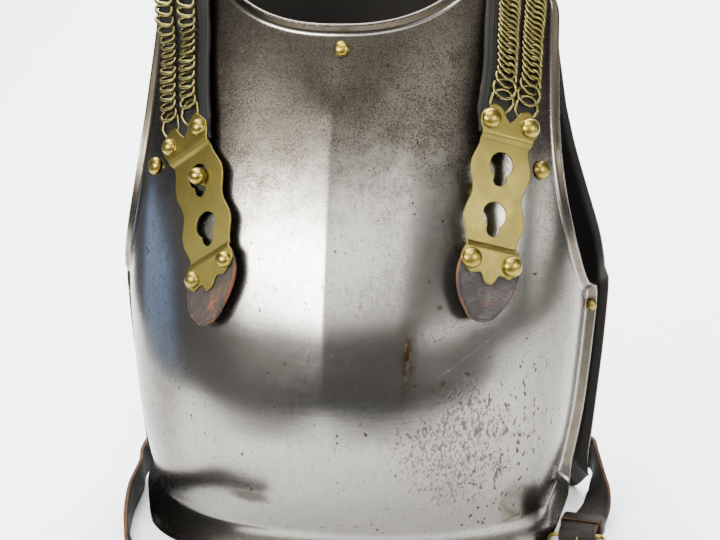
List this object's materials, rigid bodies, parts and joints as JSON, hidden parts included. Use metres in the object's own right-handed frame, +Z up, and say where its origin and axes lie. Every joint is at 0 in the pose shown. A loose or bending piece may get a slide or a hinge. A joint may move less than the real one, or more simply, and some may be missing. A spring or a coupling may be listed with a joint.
{
  "type": "cuirass",
  "caption": "Heavy-cavalry steel cuirass: ridged breastplate and backplate with turned-out edges, chain-covered leather shoulder straps with brass keyhole plates, leather waist belt",
  "frame": {"origin": "on the floor plane, under the middle of the bounding box", "axes": "+Z up, the wearer's front faces -Y, +X is the wearer's left side (the right-hand side seen from the front)"},
  "size_m": [0.3732, 0.3174, 0.4484],
  "materials": {
    "polished_steel": "polished steel with brown speckled patina, fine scratches and light rust pits",
    "back_steel": "duller darkened steel with the same patina",
    "old_brass": "aged olive-gold sheet and cast brass, worn bright on the high edges",
    "chain_brass": "tarnished brass wire links",
    "dark_leather": "dark brown leather with orange-tan cut edges and a worn grey-brown face",
    "belt_leather": "dark worn belt leather with tan edges"
  },
  "bodies": {
    "root": {"anchor_rivet_l_left": "old_brass", "anchor_rivet_l_right": "old_brass", "anchor_rivet_r_left": "old_brass", "anchor_rivet_r_right": "old_brass", "back_anchor_l": "old_brass", "back_anchor_r": "old_brass", "backplate": "back_steel", "belt_keeper": "belt_leather", "belt_l": "belt_leather", "belt_r": "belt_leather", "belt_rivet_l": "old_brass", "belt_rivet_r": "old_brass", "breast_rivet_arm_l": "old_brass", "breast_rivet_arm_r": "old_brass", "breast_rivet_neck": "old_brass", "breast_rivet_side_l": "old_brass", "breast_rivet_side_r": "old_brass", "breastplate": "polished_steel", "buckle_frame": "old_brass", "buckle_prong": "old_brass", "keyhole_plate_l": "old_brass", "keyhole_plate_r": "old_brass", "plate_rivet_l_lower_left": "old_brass", "plate_rivet_l_lower_right": "old_brass", "plate_rivet_l_upper_left": "old_brass", "plate_rivet_l_upper_right": "old_brass", "plate_rivet_r_lower_left": "old_brass", "plate_rivet_r_lower_right": "old_brass", "plate_rivet_r_upper_left": "old_brass", "plate_rivet_r_upper_right": "old_brass", "shoulder_chain_l_inner": "chain_brass", "shoulder_chain_l_outer": "chain_brass", "shoulder_chain_r_inner": "chain_brass", "shoulder_chain_r_outer": "chain_brass", "shoulder_leather_l": "dark_leather", "shoulder_leather_r": "dark_leather", "strap_point_l": "dark_leather", "strap_point_r": "dark_leather", "strap_stud_l": "old_brass", "strap_stud_r": "old_brass"}
  },
  "joints": []
}
